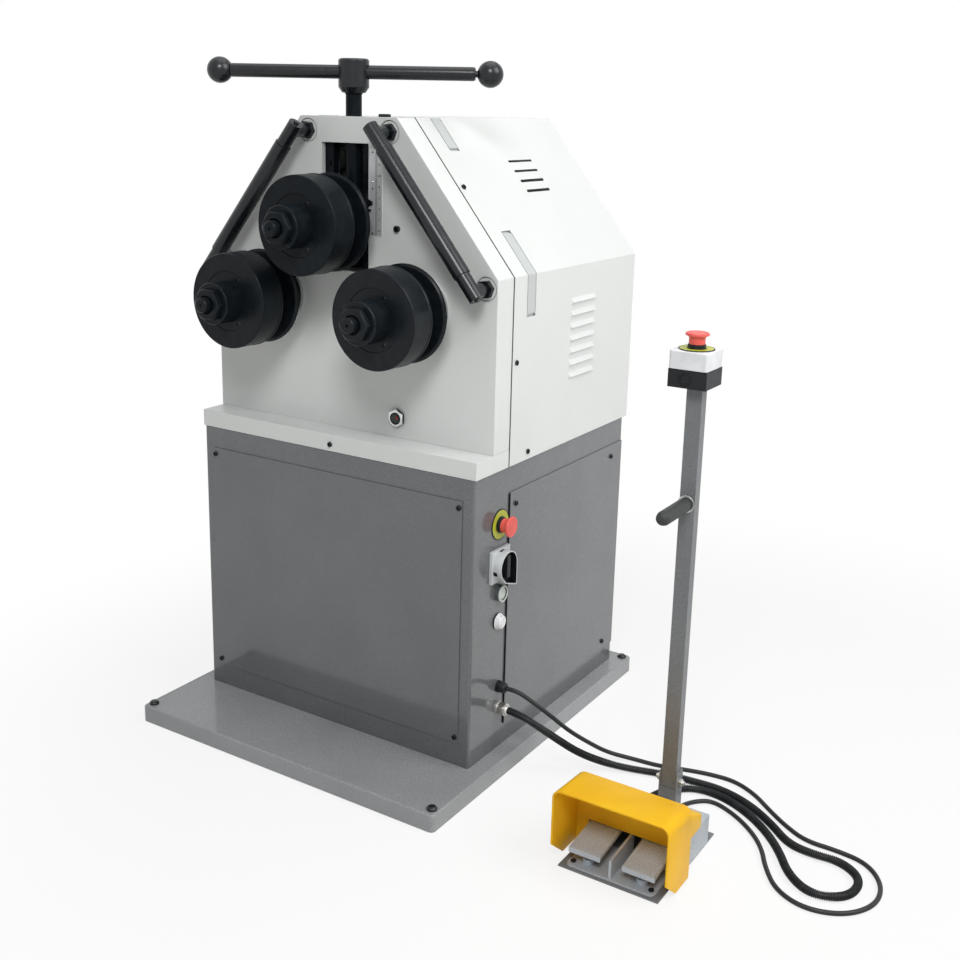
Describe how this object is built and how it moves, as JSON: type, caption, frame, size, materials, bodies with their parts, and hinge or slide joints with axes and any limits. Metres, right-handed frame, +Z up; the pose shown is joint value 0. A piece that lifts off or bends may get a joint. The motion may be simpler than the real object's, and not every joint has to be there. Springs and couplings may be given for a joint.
{
  "type": "ring roller",
  "caption": "Floor-standing powered ring roller with an adjustable top bending roll, geared lower rolls and a foot-pedal control stand.",
  "frame": {"origin": "centre of the base plate's footprint, on the floor", "axes": "+X to the operator's right, -Y towards the operator at the front, +Z up"},
  "size_m": [1.4479, 0.812, 1.3379],
  "materials": {
    "base_paint": "speckled grey enamel",
    "cabinet_paint": "speckled grey enamel",
    "head_paint": "satin white enamel",
    "black_oxide": "satin black oxide on steel",
    "ground_steel": "ground steel",
    "frame_steel": "grey primer",
    "zinc_screw": "blackened screws",
    "scale_steel": "satin steel rule",
    "sight_chrome": "chromed bezel",
    "drive_paint": "blue-grey enamel",
    "plate_zinc": "galvanised plate",
    "legend_yellow": "satin yellow-green",
    "coral_plastic": "coral red",
    "white_plastic": "satin white",
    "black_plastic": "satin black",
    "button_plastic": "pale grey-green",
    "gland_nickel": "nickel plate",
    "conduit_black": "ribbed black",
    "cable_black": "black sheath",
    "stand_paint": "grey enamel",
    "pedal_aluminium": "cast aluminium",
    "guard_yellow": "gloss yellow"
  },
  "bodies": {
    "machine": {"base_plate": "base_paint", "anchor_bolts": "ground_steel", "cabinet_shell": "cabinet_paint", "front_panel": "cabinet_paint", "side_panel": "cabinet_paint", "cover_screws": "zinc_screw", "head_base": "head_paint", "front_plate": "head_paint", "yoke_block": "head_paint", "slide_keepers": "black_oxide", "scale_strip": "scale_steel", "rear_frame": "frame_steel", "hood": "head_paint", "oil_sight": "sight_chrome", "left_side_bar": "black_oxide", "right_side_bar": "black_oxide", "lower_bearings": "ground_steel", "gear_reducer": "drive_paint", "drive_motor": "drive_paint", "control_plate": "plate_zinc", "estop_mounts": "legend_yellow", "main_switch_plate": "white_plastic", "button_and_lamp": "white_plastic", "cable_glands": "gland_nickel", "pedal_conduit": "conduit_black", "stop_cable": "cable_black", "stand_foot": "stand_paint", "pedal_base": "pedal_aluminium", "pedal_housing": "pedal_aluminium", "pedal_axle": "ground_steel", "pedal_guard": "guard_yellow", "stand_column": "stand_paint", "stand_fasteners": "zinc_screw", "stand_grip": "black_plastic", "control_box_base": "black_plastic", "control_box_lid": "white_plastic"},
    "top_slide": {"slide_block": "black_oxide", "scale_pointer": "black_oxide", "top_bearings": "ground_steel"},
    "pressure_screw": {"pressure_screw": "black_oxide", "tee_hub": "black_oxide", "tommy_bar": "black_oxide"},
    "top_roll": {"top_shaft": "black_oxide", "top_roll_rings": "black_oxide", "top_roll_nut": "black_oxide"},
    "left_roll": {"left_shaft": "black_oxide", "left_roll_rings": "black_oxide", "left_roll_nut": "black_oxide", "left_roll_gear": "ground_steel"},
    "right_roll": {"right_shaft": "black_oxide", "right_roll_rings": "black_oxide", "right_roll_nut": "black_oxide", "right_roll_gear": "ground_steel"},
    "pinion": {"pinion_shaft": "ground_steel"},
    "machine_estop": {"machine_estop_head": "coral_plastic"},
    "main_switch": {"main_switch_knob": "black_plastic"},
    "start_button": {"start_button_cap": "button_plastic"},
    "left_pedal": {"left_pedal": "pedal_aluminium"},
    "right_pedal": {"right_pedal": "pedal_aluminium"},
    "stand_estop": {"stand_estop_head": "coral_plastic"}
  },
  "joints": [
    {"name": "top_slide_travel", "type": "slide", "parent": "machine", "child": "top_slide", "axis": [0, 0, 1], "range_m": [-0.0391, 0.0801]},
    {"name": "screw_turn", "type": "hinge", "parent": "top_slide", "child": "pressure_screw", "pos_m": [0, -0.159, 1.1], "axis": [0, 0, 1], "range_deg": [-2340, 4800]},
    {"name": "top_roll_spin", "type": "hinge", "parent": "top_slide", "child": "top_roll", "pos_m": [0, -0.178, 1.0443], "axis": [0, 1, 0], "continuous": true},
    {"name": "right_roll_spin", "type": "hinge", "parent": "machine", "child": "right_roll", "pos_m": [0.17, -0.178, 0.8924], "axis": [0, 1, 0], "continuous": true},
    {"name": "left_roll_spin", "type": "hinge", "parent": "machine", "child": "left_roll", "pos_m": [-0.17, -0.178, 0.8924], "axis": [0, 1, 0], "continuous": true},
    {"name": "pinion_spin", "type": "hinge", "parent": "machine", "child": "pinion", "pos_m": [0, -0.178, 0.85087], "axis": [0, 1, 0], "continuous": true},
    {"name": "machine_estop_press", "type": "slide", "parent": "machine", "child": "machine_estop", "axis": [-1, 0, 0], "range_m": [0, 0.006]},
    {"name": "main_switch_turn", "type": "hinge", "parent": "machine", "child": "main_switch", "pos_m": [0.33, -0.145, 0.423], "axis": [1, 0, 0], "range_deg": [0, 90]},
    {"name": "start_button_press", "type": "slide", "parent": "machine", "child": "start_button", "axis": [-1, 0, 0], "range_m": [0, 0.004], "stiffness_N_per_m": 500, "springref_m": -0.002},
    {"name": "left_pedal_press", "type": "hinge", "parent": "machine", "child": "left_pedal", "pos_m": [0.688, -0.223, 0.034], "axis": [1, 0, 0], "range_deg": [0, 5], "stiffness_Nm_per_rad": 6, "springref_deg": -11.46},
    {"name": "right_pedal_press", "type": "hinge", "parent": "machine", "child": "right_pedal", "pos_m": [0.688, -0.223, 0.034], "axis": [1, 0, 0], "range_deg": [0, 5], "stiffness_Nm_per_rad": 6, "springref_deg": -11.46},
    {"name": "stand_estop_press", "type": "slide", "parent": "machine", "child": "stand_estop", "axis": [0, 0, -1], "range_m": [0, 0.006]}
  ],
  "couplings": [
    {"joint": "top_slide_travel", "follows": "screw_turn", "m_per_rad": 0.00095493},
    {"joint": "left_roll_spin", "follows": "right_roll_spin", "ratio": 1},
    {"joint": "pinion_spin", "follows": "right_roll_spin", "ratio": -2.1818}
  ]
}
